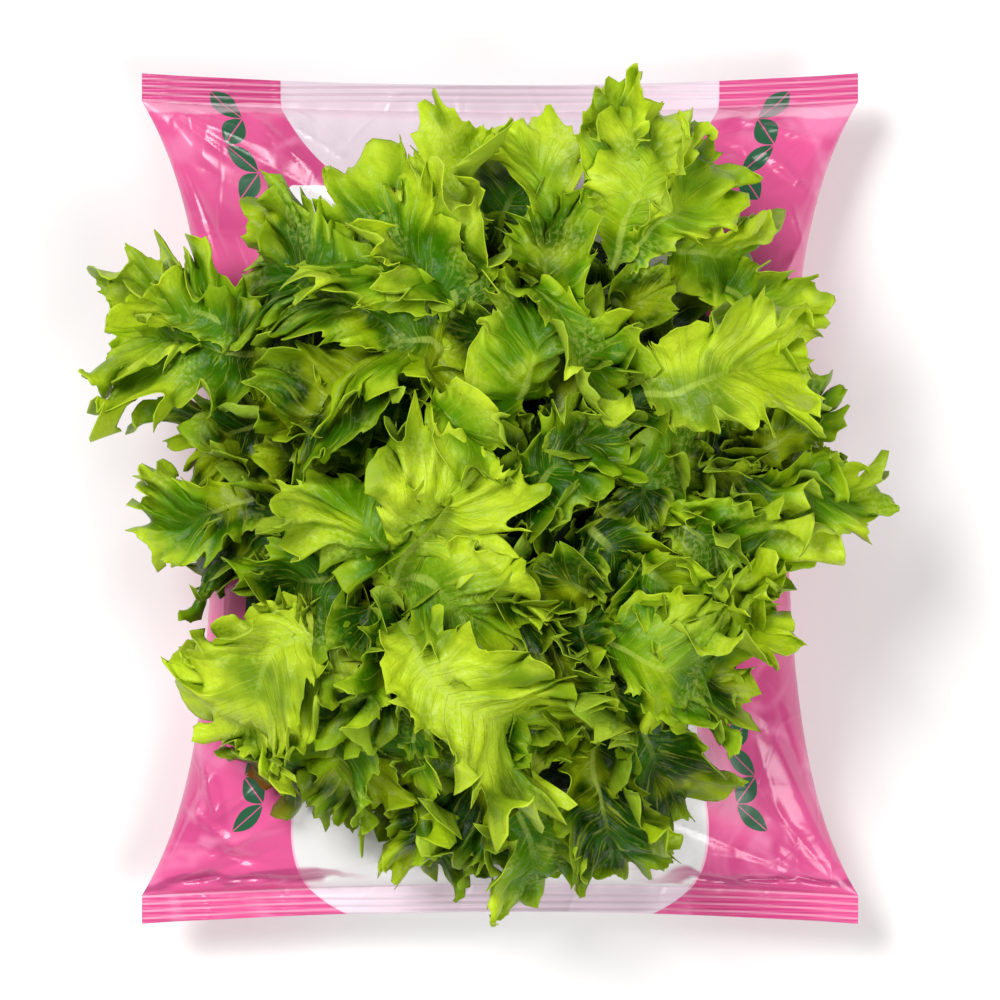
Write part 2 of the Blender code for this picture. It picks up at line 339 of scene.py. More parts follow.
def show(name, mesh):
    """An object of the mesh, smooth shaded."""
    mesh.shade_smooth()
    return put(name, mesh)


upper, lower, film_map = bag_grid()
bag = show("bag_film", solid_between("bag_film", upper, lower, film_map))
print("bag film:", len(bag.data.polygons), "faces, top at", round(upper[..., 2].max() * 1000, 1), "mm")

# %% [markdown]
# ## Crimp ribs, by Geometry Nodes
# The jaws that weld the film press fine ribs into it, so that the weld holds while it is still hot. The
# ribs repeat, so a node tree makes them: it moves each point of a seal up and down by a wave of its
# distance from the bag's middle.

# %% Crimp ribs, by Geometry Nodes
RIB_PITCH = 0.0024
RIB_RISE = 0.00045


def add(tree, kind, settings=None, inputs=None):
    """Adds a node with its settings. An input's value is a number, or the output that feeds it."""
    node = tree.nodes.new(kind)
    for key, value in (settings or {}).items():
        setattr(node, key, value)
    for key, value in (inputs or {}).items():
        if isinstance(value, bpy.types.NodeSocket):
            tree.links.new(value, node.inputs[key])
        else:
            node.inputs[key].default_value = value
    return node


def tree_of(*values):
    """The node tree of the first output among the values, so that it need not be named each time."""
    return next(value.id_data for value in values if isinstance(value, bpy.types.NodeSocket))


def maths(operation, *values):
    """A Math node's output."""
    settings = {"operation": operation}
    return add(tree_of(*values), "ShaderNodeMath", settings, dict(enumerate(values))).outputs[0]


def plus(first, second):
    return maths("ADD", first, second)


def minus(first, second):
    return maths("SUBTRACT", first, second)


def times(first, *others):
    """The product of two or more values."""
    for other in others:
        first = maths("MULTIPLY", first, other)
    return first


def size_of(value):
    """The value without its sign."""
    return maths("ABSOLUTE", value)


def vector(tree, **sides):
    """A vector of the values given for X, Y and Z."""
    return add(tree, "ShaderNodeCombineXYZ", inputs=sides).outputs[0]


def sides_of(whole):
    """A vector's X, Y and Z."""
    return add(tree_of(whole), "ShaderNodeSeparateXYZ", inputs={0: whole}).outputs


def new_geometry_tree(name, sizes):
    """A node tree that takes a mesh and named sizes, and gives a mesh."""
    tree = bpy.data.node_groups.new(name, "GeometryNodeTree")
    tree.interface.new_socket("Geometry", in_out="INPUT", socket_type="NodeSocketGeometry")
    for size in sizes:
        kind = "NodeSocketInt" if isinstance(sizes[size], int) else "NodeSocketFloat"
        tree.interface.new_socket(size, in_out="INPUT", socket_type=kind)
    tree.interface.new_socket("Geometry", in_out="OUTPUT", socket_type="NodeSocketGeometry")
    return tree, tree.nodes.new("NodeGroupInput").outputs


def apply_tree(made, tree, sizes):
    """Runs the tree on the object, and keeps the plain mesh that comes out."""
    modifier = made.modifiers.new(tree.name, "NODES")
    modifier.node_group = tree
    for item in tree.interface.items_tree:
        if item.in_out == "INPUT" and item.name in sizes:
            modifier[item.identifier] = sizes[item.name]
    graph = bpy.context.evaluated_depsgraph_get()
    mesh = bpy.data.meshes.new_from_object(made.evaluated_get(graph))
    made.modifiers.clear()
    made.data = mesh
    return made


def finish_tree(tree, shape, material):
    """Ends a tree: real faces instead of instances, in their material."""
    whole = add(tree, "GeometryNodeRealizeInstances", inputs={"Geometry": shape})
    inputs = {"Geometry": whole.outputs[0], "Material": material}
    painted = add(tree, "GeometryNodeSetMaterial", inputs=inputs)
    tree.links.new(painted.outputs[0], tree.nodes.new("NodeGroupOutput").inputs[0])


def rib_wave(far, seal_ends, pitch):
    """The wave of the ribs, from -1 to 1, at this distance from the bag's middle."""
    return maths("SINE", times(maths("DIVIDE", minus(far, seal_ends), pitch), 2 * math.pi))


def crimp_ribs(made, material):
    """Presses the ribs into both seals, and gives the film its material."""
    sizes = {"Rib pitch": RIB_PITCH, "Rib rise": RIB_RISE}
    sizes.update({"Seal starts": BODY_HALF, "Seal ends": BAG_LENGTH / 2})
    tree, given = new_geometry_tree("Crimp ribs", sizes)
    place = sides_of(add(tree, "GeometryNodeInputPosition").outputs[0])
    far = size_of(place["Y"])
    wave = rib_wave(far, given["Seal ends"], given["Rib pitch"])
    on_seal = maths("GREATER_THAN", far, given["Seal starts"])
    rise = times(wave, on_seal, given["Rib rise"])
    inputs = {"Geometry": given["Geometry"], "Offset": vector(tree, Z=rise)}
    moved = add(tree, "GeometryNodeSetPosition", inputs=inputs)
    finish_tree(tree, moved.outputs[0], material)
    return apply_tree(made, tree, sizes)


print("ribs in each seal:", round(SEAL_DEPTH / RIB_PITCH))

# %% [markdown]
# ## One lettuce leaf
# A frilly leaf grows faster at its margin than along its rib. The extra margin has nowhere to go, so it
# throws itself into waves, and the faster growth near the very edge throws smaller waves on top of them.
# The model grows the leaf in the same way. Veins start along the rib and run out to the margin. Each
# vein is walked in short steps, and at every step it may turn up, down or sideways. Its length stays
# what it was when flat, so the edge curls instead of stretching.

# %% One lettuce leaf
VEIN_SPREAD = math.radians(84)
TIP_WIDTH = 0.25
TOOTH_PITCH = 0.0043
# How fine a leaf's grid is: from vein to vein at the margin, and steps from the rib to the margin.
FINE = (0.00078, 12)
COARSE = (0.0011, 8)
SMALL = (0.0010, 6)
# What differs from leaf to leaf, and between which ends. Angles are in radians.
LOOK_RANGES = {
    "frill": (0.9, 1.25),
    "wave": (0.0060, 0.0105),
    "cup": (-0.3, 0.6),
    "fold": (0.4, 1.1),
    "belly": (1.6, 2.6),
    "sway": (-0.8, 0.8),
    "lobes": (0.15, 0.38),
    "bays": (0.009, 0.016),
    "teeth": (0.0024, 0.0046),
    "stalk": (0.10, 0.20),
    "pucker": (0.3, 0.6),
    "rib": (0.50, 0.70),
}


def drift(s, pitch, draw):
    """Smooth random numbers from -1 to 1 along s, with a knot every pitch."""
    knots = draw.uniform(-1, 1, int(s.max() / pitch) + 3)
    knot = np.floor(s / pitch).astype(int)
    part = s / pitch - knot
    part = part * part * (3 - 2 * part)
    return knots[knot] * (1 - part) + knots[knot + 1] * part


def flat_outline(length, width, look):
    """Where veins start on the rib, which way they go and how long they are, even at the margin."""
    a = np.linspace(1, 0, 400)

    def shape(a):
        on_rib = (1 - a**1.2) * look["rib"] * length
        way = VEIN_SPREAD * a**0.6
        beside = width / 2 * (look["stalk"] + (1 - look["stalk"]) * (1 - a ** look["belly"]) ** 0.8)
        beside = beside / np.maximum(np.sin(way), 0.70)
        near_tip = np.exp(-((a / TIP_WIDTH) ** 2))
        ahead = (1 - look["rib"]) * 1.05 * length
        return on_rib, way, beside * (1 - near_tip) + ahead * near_tip

    on_rib, way, reach = shape(a)
    edge = np.stack([on_rib + reach * np.cos(way), reach * np.sin(way)], -1)
    arc = np.concatenate([[0], np.cumsum(np.hypot(*np.diff(edge, axis=0).T))])
    rows = max(30, int(arc[-1] / look["step"]))
    s = np.linspace(0, arc[-1], rows + 1)
    return s, *shape(np.interp(s, arc, a))


def rib_line(on_rib, length, arch, sway):
    """Points along the rib, with the directions ahead, to the side and up at each."""
    share = on_rib / on_rib.max()
    down = arch * (0.5 - share)
    turn = sway * (share - 0.35)
    ahead = np.stack([np.cos(down) * np.cos(turn), np.cos(down) * np.sin(turn), np.sin(down)], -1)
    points = np.cumsum(ahead * np.diff(on_rib, prepend=0)[:, None], 0)
    side = np.cross([0, 0, 1.0], ahead)
    side /= np.linalg.norm(side, axis=1, keepdims=True)
    return points, ahead, side, np.cross(ahead, side)


def grow_side(hand, s, way, reach, rib, look, draw):
    """Walks every vein of one half of the leaf from the rib to its end at the margin."""
    points, ahead, side, up = rib
    frill = look["frill"]
    # The margin's waves: where each vein stands in its wave, and how strongly it curls.
    phase = math.pi * s / look["wave"] + 1.7 * drift(s, 0.015, draw) + draw.uniform(0, 2 * math.pi)
    swing = np.cos(phase)
    from_stalk = np.clip(s / (0.3 * s.max()), 0.2, 1)
    curl = frill * (1 + 0.5 * drift(s, 0.015, draw)) * from_stalk
    # The margin's outline: bays between lobes, then teeth.
    bay = math.pi * s / look["bays"] + 1.5 * drift(s, 0.020, draw) + draw.uniform(0, 2 * math.pi)
    lobe = 1 - look["lobes"] * np.abs(np.sin(bay)) ** 0.8 * (0.65 + 0.6 * drift(s, 0.013, draw))
    whole = reach * (1 + 0.12 * drift(s, 0.026, draw))
    reach = whole * lobe
    teeth = s / TOOTH_PITCH + 0.9 * drift(s, 0.009, draw)
    notch = look["teeth"] * np.clip(0.6 + 0.6 * drift(s, 0.007, draw), 0.15, 1.2)
    reach = np.maximum(reach - notch * np.abs(np.sin(math.pi * teeth)) ** 0.6, 0.0015)
    slow, slide, seed = drift(s, 0.03, draw), drift(s, 0.02, draw), draw.integers(1000)
    # The walk: a vein in a bay ends early, so it is only as far along its curl as it is long.
    cut = reach / whole
    t = 1 - (1 - np.linspace(0, 1, look["steps"] + 1)) ** 1.4
    columns = [points]
    for near, far in zip(t[:-1], t[1:]):
        mid = cut * (near + far) / 2
        # How steeply this step goes up: the leaf's cup and fold, three sizes of wave, then dents.
        rise = look["cup"] * (0.5 + mid) + look["fold"] * slow * mid + 1.25 * curl * swing * mid**3.3
        rise = rise + 0.85 * frill * np.sin(2.3 * phase + 3 * slow) * mid**6
        rise = rise + 0.45 * frill * np.sin(4.1 * phase + 6 * slide) * mid**10
        rise = rise + look["pucker"] * even_dents(s, mid * whole, 0.013, seed) * (0.25 + mid)
        aside = way + (0.35 * np.cos(phase + 0.5) * mid**2 + 0.25 * slide * mid) * min(frill, 1.2)
        level = ahead * np.cos(aside)[:, None] + side * (hand * np.sin(aside))[:, None]
        step = (reach * (far - near))[:, None]
        columns.append(columns[-1] + step * (level * np.cos(rise)[:, None] + up * np.sin(rise)[:, None]))
    return np.stack(columns, 1), reach[:, None] * t, np.broadcast_to(t, (len(s), len(t)))


def leaf_sheet(length, width, look, draw):
    """The leaf as a grid: rows from stalk to tip, columns from the left margin to the right one."""
    s, on_rib, way, reach = flat_outline(length, width, look)
    rib = rib_line(on_rib, length, look["arch"], look["sway"])
    left, left_out, t = grow_side(1, s, way, reach, rib, look, draw)
    right, right_out, _ = grow_side(-1, s, way, reach, rib, look, draw)
    tip = (left[-1] + right[-1]) / 2
    for row, ease in zip(range(-6, 0), np.linspace(0, 1, 7)[1:] ** 2):
        left[row] += (tip - left[row]) * ease
        right[row] += (tip - right[row]) * ease

    def join(one, other):
        return np.concatenate([one[:, :0:-1], other], 1)

    along = np.broadcast_to(s[:, None], t.shape)
    return {
        "points": join(left, right),
        "map": np.stack([join(along, along), join(-left_out, right_out)], -1),
        "edge": join(t, t),
        "share": join(along, along) / s.max(),
    }


def leaf_look(arch, frill, draw, grid=FINE):
    """The shape settings of one leaf, a little different for each."""
    look = {name: draw.uniform(*ends) for name, ends in LOOK_RANGES.items()}
    look["frill"] *= frill
    look["arch"] = math.radians(arch) * 2
    look["step"], look["steps"] = grid
    return look


trial_draw = np.random.default_rng(1)
trial = leaf_sheet(0.085, 0.090, leaf_look(50, 1.6, trial_draw), trial_draw)
spread = np.ptp(trial["points"].reshape(-1, 3), axis=0)
print("a flat leaf of 85 x 90 mm takes", [round(1000 * float(side)) for side in spread], "mm once curled")

# %% [markdown]
# ## From a sheet to a solid leaf
# A leaf's blade is about 0.3 mm thick, and its rib over a millimetre. Two copies of the sheet, pushed
# apart along its normals and joined round the margin, make a closed solid. The last row is folded on
# itself where the two halves meet along the tip's vein, so its points are shared. Every point keeps its
# place on the flat leaf and a few values, among them its tone, for the lettuce material to read.

# %% From a sheet to a solid leaf
LEAF_HALF_THICKNESS = 0.00014
RIB_HALF_THICKNESS = 0.0007
RIB_HALF_BREADTH = 0.0014
DEPTH_SHADE = 16.0
TONE_HEIGHT = 0.042


def grid_normals(points):
    """A unit normal for each point of a grid."""
    normal = np.cross(np.gradient(points, axis=1), np.gradient(points, axis=0))
    size = np.linalg.norm(normal, axis=2, keepdims=True)
    return normal / np.maximum(size, 1e-12)


def leaf_solid(sheet):
    """Points and faces of the closed leaf."""
    points = sheet["points"]
    rows, columns = points.shape[:2]
    half = columns // 2
    normal = grid_normals(points)
    near_rib = np.exp(-((sheet["map"][..., 1] / RIB_HALF_BREADTH) ** 2)) * (1 - sheet["share"]) ** 0.8
    thick = LEAF_HALF_THICKNESS + (RIB_HALF_THICKNESS - LEAF_HALF_THICKNESS) * near_rib
    apart = normal * thick[..., None]
    both = np.concatenate([(points + apart).reshape(-1, 3), (points - apart).reshape(-1, 3)])
    index = np.arange(rows * columns).reshape(rows, columns)
    index[-1, :half] = index[-1, :half:-1]
    rim = np.concatenate([index[0, :-1], index[:, -1], index[-2:0:-1, 0]])
    return both, faces_between(index, rim)


def shaded_by_depth(sheet, leaf_tone):
    """A leaf's tone, point by point, with painted shade: darker the lower it lies above the bag, yellower
    the higher.
    """
    x, y, z = np.moveaxis(sheet["points"], -1, 0)
    return np.clip(leaf_tone + DEPTH_SHADE * (z - bag_top(x, y) - TONE_HEIGHT), 0, 1)


def join_leaves(name, leaves):
    """One mesh of many leaves, with the map and the values that the lettuce material reads."""
    points, faces, maps, edge, share, tone, under, brown = [], [], [], [], [], [], [], []
    base = 0
    for sheet, leaf_tone in leaves:
        own_points, own_faces = leaf_solid(sheet)
        points.append(own_points)
        faces.append(own_faces + base)
        base += len(own_points)
        count = len(own_points) // 2
        maps += [sheet["map"].reshape(-1, 2)] * 2
        edge += [sheet["edge"].ravel()] * 2
        share += [sheet["share"].ravel()] * 2
        brown += [sheet.get("brown", 0 * sheet["share"]).ravel()] * 2
        tone += [np.broadcast_to(leaf_tone, sheet["share"].shape).ravel()] * 2
        under.append(np.repeat([0.0, 1.0], count))
    mesh = bpy.data.meshes.new(name)
    rows = [tuple(dict.fromkeys(face)) for face in np.concatenate(faces).tolist()]
    mesh.from_pydata(np.concatenate(points).tolist(), [], [row for row in rows if len(row) > 2])
    put_uv(mesh, np.concatenate(maps))
    values = {"edge": edge, "share": share, "tone": tone, "under": under, "brown": brown}
    for key, value in values.items():
        put_value(mesh, "leaf_" + key, np.concatenate(value))
    cage = bmesh.new()
    cage.from_mesh(mesh)
    bmesh.ops.delete(cage, geom=[point for point in cage.verts if not point.link_faces], context="VERTS")
    cage.to_mesh(mesh)
    cage.free()
    return mesh


trial_points, trial_faces = leaf_solid(trial)
print("the trial leaf as a solid:", len(trial_points), "points,", len(trial_faces), "faces")

# %% [markdown]
# ## Where the leaves lie
# Every large leaf that shows is placed one by one: where its stalk end lies, where its tip is, how wide
# it is, how far its rib arches, how it is rolled, its tone from 0, old and dark, to 1, young and
# yellow-green, and how frilly it is. The tone is partly the leaf's own green and partly painted shade and
# light: leaves in the heap's shade are given low tones and lit ones high tones. Smaller, coarser leaves
# fill the layer under them.

# %% Where the leaves lie
# name: stalk end x, y, height; tip x, y, height; flat width (all mm); arch, roll (degrees); tone; frill
LEAVES = {
    "top_tall": (36, 76, 100, 52, 134, 114, 48, 40, -10, 0.62, 1.7),
    "top_right": (40, 78, 100, 76, 122, 104, 54, 45, 10, 0.60, 1.7),
    "top_pale": (18, 84, 90, 9, 124, 92, 46, 30, 0, 0.85, 1.3),
    "top_fan": (-12, 56, 98, -36, 102, 108, 70, 50, 8, 0.60, 1.6),
    "top_back": (-10, 80, 92, -9, 124, 94, 50, 30, -8, 0.85, 1.3),
    "shoulder_left": (-16, 60, 100, -62, 102, 100, 78, 60, 5, 0.50, 1.5),
    "shoulder_low": (-24, 48, 98, -90, 80, 92, 76, 60, -5, 0.35, 1.6),
    "wing_tip_left": (-74, 54, 80, -135, 80, 74, 60, 40, 0, 0.60, 1.6),
    "wing_left": (-70, 46, 80, -131, 50, 70, 76, 50, 10, 0.35, 1.6),
    "side_left": (-72, 28, 78, -118, 14, 66, 62, 50, -10, 0.15, 1.7),
    "spike_left": (-72, 2, 74, -122, -18, 58, 50, 40, 0, 0.45, 1.8),
    "low_wing_left": (-64, -12, 72, -120, -20, 60, 64, 45, 0, 0.40, 1.8),
    "crown_cup": (2, 32, 104, 22, 80, 122, 64, 60, 25, 0.60, 1.3),
    "crown_right": (4, 62, 104, 40, 26, 116, 64, 60, -20, 0.55, 1.7),
    "crown_back": (22, 58, 98, 12, 104, 108, 60, 50, 0, 0.35, 1.6),
    "crown_left": (-16, 46, 104, -72, 54, 112, 80, 60, 0, 0.40, 1.6),
    "crown_fold": (-26, 36, 96, -76, 20, 102, 70, 60, 10, 0.20, 1.7),
    "middle_up": (-36, -30, 102, -4, 22, 125, 84, 45, 0, 0.82, 1.3),
    "middle_left": (-28, -26, 102, -60, 18, 118, 76, 55, 0, 0.55, 1.4),
    "middle_step": (-32, -28, 104, 16, -40, 120, 72, 50, -5, 0.75, 1.5),
    "middle_low": (-28, -34, 96, -46, -86, 94, 70, 60, 0, 0.30, 1.6),
    "long_leaf": (-32, -38, 108, 26, -115, 92, 80, 55, 0, 0.90, 1.5),
    "fan_left": (-44, -24, 98, -90, -42, 94, 68, 55, 0, 0.35, 1.6),
    "bright_left": (-46, -40, 94, -104, -86, 74, 78, 60, 0, 0.98, 1.5),
    "hook_left": (-54, -42, 96, -102, -86, 80, 80, 50, 0, 1.00, 1.4),
    "brown_tip": (-52, -74, 78, -84, -104, 62, 50, 45, 0, 0.50, 1.7),
    "low_left": (-22, -62, 90, -38, -126, 68, 66, 60, 0, 0.60, 1.6),
    "low_dark": (-18, -84, 78, -18, -130, 58, 54, 40, 0, 0.25, 1.7),
    "low_tip": (4, -88, 76, 18, -140, 52, 50, 35, 0, 0.90, 1.5),
    "oak_leaf": (30, -74, 76, 40, -128, 60, 62, 35, 0, 0.30, 0.8),
    "oak_right": (34, -70, 78, 68, -106, 66, 58, 40, 0, 0.35, 0.8),
    "right_lowest": (38, -54, 86, 88, -70, 76, 58, 50, 0, 0.60, 1.6),
    "right_low": (32, -42, 92, 97, -58, 80, 80, 60, 0, 0.80, 1.6),
    "right_shelf": (46, -30, 88, 96, -42, 80, 66, 50, 0, 0.80, 1.5),
    "right_broad": (48, -10, 90, 108, -22, 82, 76, 55, 0, 0.45, 1.5),
    "right_upper": (56, 8, 84, 102, 8, 80, 62, 50, 0, 0.35, 1.6),
    "far_right": (74, 2, 80, 134, -2, 72, 50, 40, 0, 0.25, 1.7),
    "far_right_up": (76, 14, 82, 118, 34, 80, 42, 40, 0, 0.15, 1.7),
    "yellow_right": (48, 34, 98, 106, 46, 98, 72, 55, 0, 1.00, 1.5),
    "pale_right": (52, 82, 90, 105, 66, 88, 70, 60, 0, 0.85, 1.3),
    "centre_spike": (4, 2, 100, 42, 22, 110, 64, 55, 0, 0.30, 1.8),
    "centre_right": (20, -22, 90, 58, -16, 96, 46, 55, 0, 0.15, 1.8),
    "centre_low": (10, -36, 92, 42, -86, 90, 66, 60, 0, 0.25, 1.6),
    "shoulder_far": (-38, 58, 94, -90, 94, 88, 74, 55, 0, 0.45, 1.5),
    "wing_far": (-84, 50, 72, -135, 60, 60, 66, 40, 0, 0.45, 1.6),
    "side_low": (-54, -2, 88, -104, -8, 72, 58, 50, 0, 0.20, 1.7),
    "low_left_far": (-38, -68, 84, -78, -114, 58, 62, 55, 0, 0.60, 1.5),
    "low_left_step": (-22, -86, 74, -27, -140, 52, 54, 45, 0, 0.45, 1.6),
    "pale_low": (64, 66, 84, 106, 54, 78, 60, 50, 0, 0.80, 1.5),
    "crown_fill": (-4, 16, 98, -14, 68, 110, 56, 55, 0, 0.40, 1.6),
    "centre_left": (22, -8, 92, -10, 30, 104, 52, 55, 0, 0.30, 1.7),
    "centre_under": (30, -52, 88, 24, -12, 98, 52, 50, 0, 0.10, 1.7),
    "yellow_low": (34, -4, 92, 76, 26, 98, 58, 50, 0, 0.65, 1.6),
    "bit_spike": (20, 24, 100, 38, 10, 114, 40, 60, 0, 0.40, 1.9),
    "bit_middle": (10, 2, 94, 28, -12, 106, 38, 60, 0, 0.20, 1.9),
    "bit_step": (28, -12, 96, 50, -28, 106, 42, 60, 0, 0.35, 1.9),
    "bit_shelf": (44, -24, 96, 70, -40, 104, 44, 60, 0, 0.65, 1.9),
    "bit_right": (54, -8, 94, 82, -24, 98, 44, 60, 0, 0.45, 1.9),
    "bit_low": (8, -42, 94, 28, -62, 102, 40, 60, 0, 0.30, 1.9),
    "bit_crown": (-20, 30, 106, 0, 14, 120, 40, 60, 0, 0.60, 1.9),
    "bit_left": (-48, -10, 98, -72, -28, 98, 42, 60, 0, 0.55, 1.9),
    "bit_hook": (-36, -56, 98, -60, -76, 92, 44, 60, 0, 0.60, 1.9),
    "bit_foot": (-10, -78, 90, -30, -104, 80, 44, 60, 0, 0.60, 1.9),
    "top_spike": (30, 86, 96, 38, 139, 112, 28, 40, 0, 0.50, 1.7),
    "low_tip_left": (14, -92, 70, 12, -134, 56, 44, 40, 0, 0.85, 1.6),
    "low_left_edge": (-54, -50, 84, -104, -70, 72, 60, 50, 0, 0.95, 1.5),
}
LEAF_SEED = 40
LEAF_CLEARANCE = 0.0025
HEAP_SHOULDER = heap_high.z - 0.010
HEAP_GIVE = 0.014
CRUMPLE = 0.0022
CRUMPLE_PITCH = 0.060
CRUMPLE_WAVES = np.random.default_rng(21).normal(size=(12, 3)) * 2 * math.pi / CRUMPLE_PITCH
CRUMPLE_TURNS = np.random.default_rng(22).uniform(0, 2 * math.pi, (12, 3))
LEAVES_BELOW = 22
BELOW_SEED = 300
BELOW_REACH_MM = 74


def crumple(points):
    """How far the heap pushes each point aside: smooth, the same for leaves that touch."""
    total = 0
    for finer, size in ((1, CRUMPLE), (4, 0.17 * CRUMPLE)):
        waves = finer * points @ CRUMPLE_WAVES.T
        shifts = [np.sin(waves + CRUMPLE_TURNS[:, axis]).sum(-1) for axis in range(3)]
        total = total + np.stack(shifts, -1) * size / 3
    return total


def place_leaf(sheet, foot, tip, roll):
    """Turns a leaf so that it runs from foot to tip, rolled about its rib, clear of the bag's film."""
    foot, tip = np.array(foot, float), np.array(tip, float)
    ahead = (tip - foot) / np.linalg.norm(tip - foot)
    side = np.cross([0, 0, 1.0], ahead)
    side /= np.linalg.norm(side)
    up = np.cross(ahead, side)
    turn = math.radians(roll)
    rolled_side = side * math.cos(turn) + up * math.sin(turn)
    rolled_up = up * math.cos(turn) - side * math.sin(turn)
    points = sheet["points"] @ np.stack([ahead, rolled_side, rolled_up]) + foot
    points = points + crumple(points)
    floor = bag_top(points[..., 0], points[..., 1]) + LEAF_CLEARANCE
    points[..., 2] = np.maximum(points[..., 2], floor)
    over = np.maximum(0, points[..., 2] - HEAP_SHOULDER)
    points[..., 2] -= over - over / (1 + over / HEAP_GIVE)
    sheet["points"] = points


def make_leaf(row, seed, grid=FINE, browned=0.0):
    """One placed leaf and its tone, from a row of the table."""
    draw = np.random.default_rng(seed)
    foot, tip = np.array(row[0:3]) / 1000, np.array(row[3:6]) / 1000
    width, arch, roll, tone, frill = row[6] / 1000, *row[7:]
    length = np.linalg.norm(tip - foot) * 1.05
    roll += draw.uniform(-24, 24)
    sheet = leaf_sheet(length, 0.90 * width, leaf_look(arch, frill, draw, grid), draw)
    # A browned leaf is brown at its margin, near the tip.
    near_tip = np.clip((sheet["share"] - 0.72) / 0.15, 0, 1)
    sheet["brown"] = browned * near_tip * np.clip((sheet["edge"] - 0.55) / 0.3, 0, 1)
    place_leaf(sheet, foot, tip, roll)
    # The tone carries painted shade: the lower a point lies in the heap, the darker its green.
    return sheet, shaded_by_depth(sheet, tone)


# Pieces by the start of their leaves' names. A name goes to the first group that it fits.
GROUPS = {
    "leaves_top": ("top", "shoulder", "pale"),
    "leaves_left": ("wing", "side", "spike", "low_wing"),
    "leaves_crown": ("crown", "centre"),
    "leaves_middle": ("middle", "long", "fan", "bright", "hook"),
    "leaves_low": ("brown", "low_left", "low_dark", "low_tip", "oak"),
    "leaves_right": ("right", "far", "yellow"),
    "leaves_torn": ("bit",),
}


def leaves_of(group):
    """The placed leaves of one group. The seed is the leaf's place in the table."""
    found = []
    for order, (name, row) in enumerate(LEAVES.items()):
        if group == next(key for key, starts in GROUPS.items() if name.startswith(starts)):
            found.append(make_leaf(row, LEAF_SEED + order, browned=float(name == "brown_tip")))
    return found


def lower_layer(count):
    """Leaves that show only between the others: they point outwards all round the heap."""
    draw = np.random.default_rng(5)
    found = []
    for k in range(count):
        angle = k * math.pi * (3 - math.sqrt(5))
        out = BELOW_REACH_MM * math.sqrt((k + 0.5) / count)
        x, y = out * math.cos(angle), out * math.sin(angle) * 1.15 - 4
        heading = angle + draw.uniform(-1.0, 1.0)
        length = draw.uniform(36, 52)
        z = 1000 * float(bag_top(x / 1000, y / 1000)) + 10 + 12 * (1 - out / 90)
        tip = (x + length * math.cos(heading), y + length * math.sin(heading))
        row = (x, y, z, *tip, z + draw.uniform(-6, 10), draw.uniform(46, 64), 50, draw.uniform(-30, 30))
        # A low tone, as painted shade: these leaves lie deep between the others.
        row = (*row, draw.uniform(0.0, 0.36), 1.9)
        found.append(make_leaf(row, BELOW_SEED + k, COARSE))
    return found


grown = {group: leaves_of(group) for group in GROUPS}
grown["leaves_below"] = lower_layer(LEAVES_BELOW)
leaf_pieces = []
for name, members in grown.items():
    piece = show(name, join_leaves(name, members))
    leaf_pieces.append(piece)
    print(name, len(members), "leaves,", len(piece.data.polygons), "faces")

# %% [markdown]
# ## The core of the heap
# Under the leaves that show lie more leaves, packed close and in deep shade. A low lumpy mound stands for
# them.

# %% The core of the heap
CORE_CENTRE = np.array([-0.001, -0.004])
CORE_REACH = 0.094
CORE_RISE = 0.017
CORE_GAP = 0.003
CORE_LUMP = 0.003
WIDEST_SHARE = 0.86
CORE_RINGS = 44
CORE_SECTORS = 140


def core_grid():
    """Upper and lower points of the mound, in rings from its middle, kept within the bag's sides."""
    share = np.sin(math.pi / 2 * np.linspace(0.004, 1, CORE_RINGS + 1))
    angle = np.linspace(0, 2 * math.pi, CORE_SECTORS + 1)
    share, angle = np.meshgrid(share, angle, indexing="ij")
    reach = np.full_like(angle, CORE_REACH)
    for _ in range(4):
        across = np.abs(CORE_CENTRE[0] + reach * np.cos(angle))
        room = WIDEST_SHARE * half_width(CORE_CENTRE[1] + reach * np.sin(angle))
        reach *= np.minimum(1, room / np.maximum(across, 1e-6))
    x = CORE_CENTRE[0] + share * reach * np.cos(angle)
    y = CORE_CENTRE[1] + share * reach * np.sin(angle)
    floor = bag_top(x, y) + CORE_GAP
    lumps = CORE_LUMP * even_dents(x, y, 0.018, seed=8) * (1 - share**3)
    top = floor + 0.002 + CORE_RISE * (1 - share**2.4) ** 0.8 + np.maximum(lumps, -0.002)
    return np.stack([x, y, top], -1), np.stack([x, y, floor], -1), np.stack([x, y], -1)


core_upper, core_lower, core_map = core_grid()
core = show("heap_core", solid_between("heap_core", core_upper, core_lower, core_map))
cage = bmesh.new()
cage.from_mesh(core.data)
bmesh.ops.remove_doubles(cage, verts=cage.verts, dist=0.00001)
bmesh.ops.recalc_face_normals(cage, faces=cage.faces)
cage.to_mesh(core.data)
cage.free()
print("core:", len(core.data.polygons), "faces")

# %% [markdown]
# ## Frills in the gaps, by Geometry Nodes
# Between the big leaves one looks down on torn bits and leaf edges that stand up in the shade. They are
# all alike, so a node tree sets small leaves on the core: it spreads points over it, no two closer than
# the gap, and puts one of a few kinds on each, turned and tilted at random.

# %% Frills in the gaps, by Geometry Nodes
# Low tones, as painted shade: the small leaves stand deep in the gaps between the big ones.
FRILL_SHADE_TONES = (0.02, 0.08, 0.14, 0.20)
FRILL_SEED = 900


def small_leaves():
    """A collection of a few small leaves, from which the tree takes copies."""
    kinds = bpy.data.collections.new("small leaves")
    for kind, tone in enumerate(FRILL_SHADE_TONES):
        draw = np.random.default_rng(FRILL_SEED + kind)
        look = leaf_look(70, 1.9, draw, SMALL)
        sheet = leaf_sheet(draw.uniform(0.024, 0.032), draw.uniform(0.028, 0.038), look, draw)
        mesh = join_leaves("small", [(sheet, tone)])
        kinds.objects.link(bpy.data.objects.new(f"small_leaf_{kind}", mesh))
    return kinds


